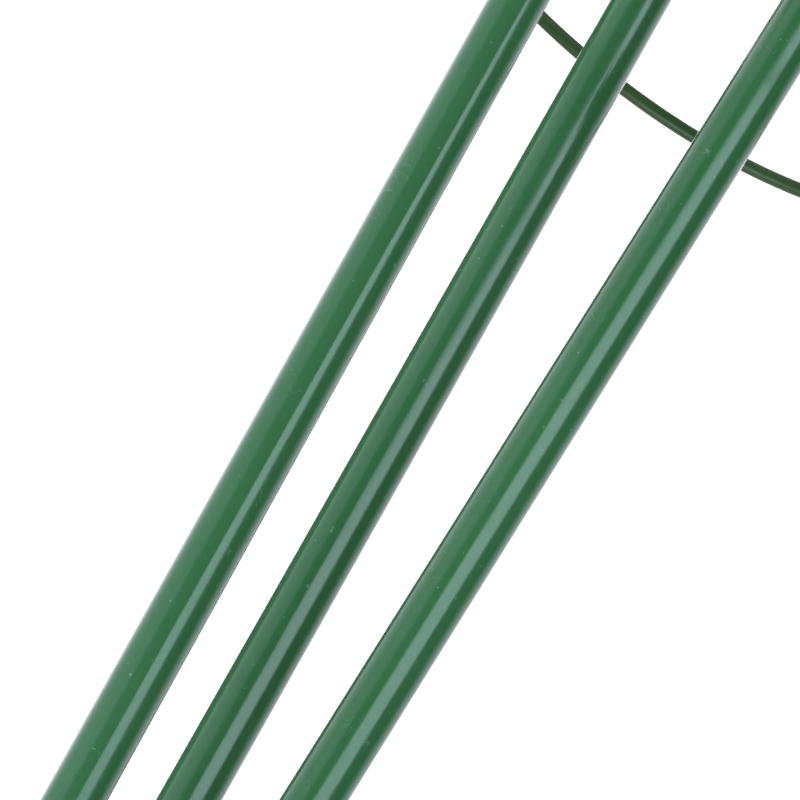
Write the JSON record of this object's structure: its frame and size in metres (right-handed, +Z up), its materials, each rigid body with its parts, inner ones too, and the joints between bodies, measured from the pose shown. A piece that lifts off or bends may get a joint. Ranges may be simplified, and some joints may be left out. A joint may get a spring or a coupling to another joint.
{
  "type": "garden obelisk",
  "caption": "Slim three-legged obelisk for climbing plants: green coated tubes leaning into a cap with a ball finial, ringed by wire hoops on snap clips and spokes.",
  "frame": {"origin": "on the ground, on the axis, at the centre of the three feet", "axes": "+Z up along the obelisk's axis, +X and +Y level, with one foot towards -Y"},
  "size_m": [0.285, 0.285, 1.5697],
  "materials": {
    "tube_coat": "glossy green plastic coating on steel tube",
    "wire_coat": "satin dark green coating on steel wire",
    "moulding": "satin green moulded plastic",
    "steel": "zinc-plated steel"
  },
  "bodies": {
    "root": {"foot_spike_1": "moulding", "lower_tube_1": "tube_coat", "tube_joiner_1": "steel", "upper_tube_1": "tube_coat", "foot_spike_2": "moulding", "lower_tube_2": "tube_coat", "tube_joiner_2": "steel", "upper_tube_2": "tube_coat", "foot_spike_3": "moulding", "lower_tube_3": "tube_coat", "tube_joiner_3": "steel", "upper_tube_3": "tube_coat", "cap_hub": "moulding", "ball_finial": "moulding", "finial_stud": "steel", "wire_hoop_1": "wire_coat", "snap_clip_1_1": "moulding", "hoop_spoke_1_1": "wire_coat", "snap_clip_1_2": "moulding", "hoop_spoke_1_2": "wire_coat", "snap_clip_1_3": "moulding", "hoop_spoke_1_3": "wire_coat", "wire_hoop_2": "wire_coat", "snap_clip_2_1": "moulding", "hoop_spoke_2_1": "wire_coat", "snap_clip_2_2": "moulding", "hoop_spoke_2_2": "wire_coat", "snap_clip_2_3": "moulding", "hoop_spoke_2_3": "wire_coat", "wire_hoop_3": "wire_coat", "snap_clip_3_1": "moulding", "hoop_spoke_3_1": "wire_coat", "snap_clip_3_2": "moulding", "hoop_spoke_3_2": "wire_coat", "snap_clip_3_3": "moulding", "hoop_spoke_3_3": "wire_coat", "wire_hoop_4": "wire_coat", "snap_clip_4_1": "moulding", "hoop_spoke_4_1": "wire_coat", "snap_clip_4_2": "moulding", "hoop_spoke_4_2": "wire_coat", "snap_clip_4_3": "moulding", "hoop_spoke_4_3": "wire_coat"}
  },
  "joints": []
}
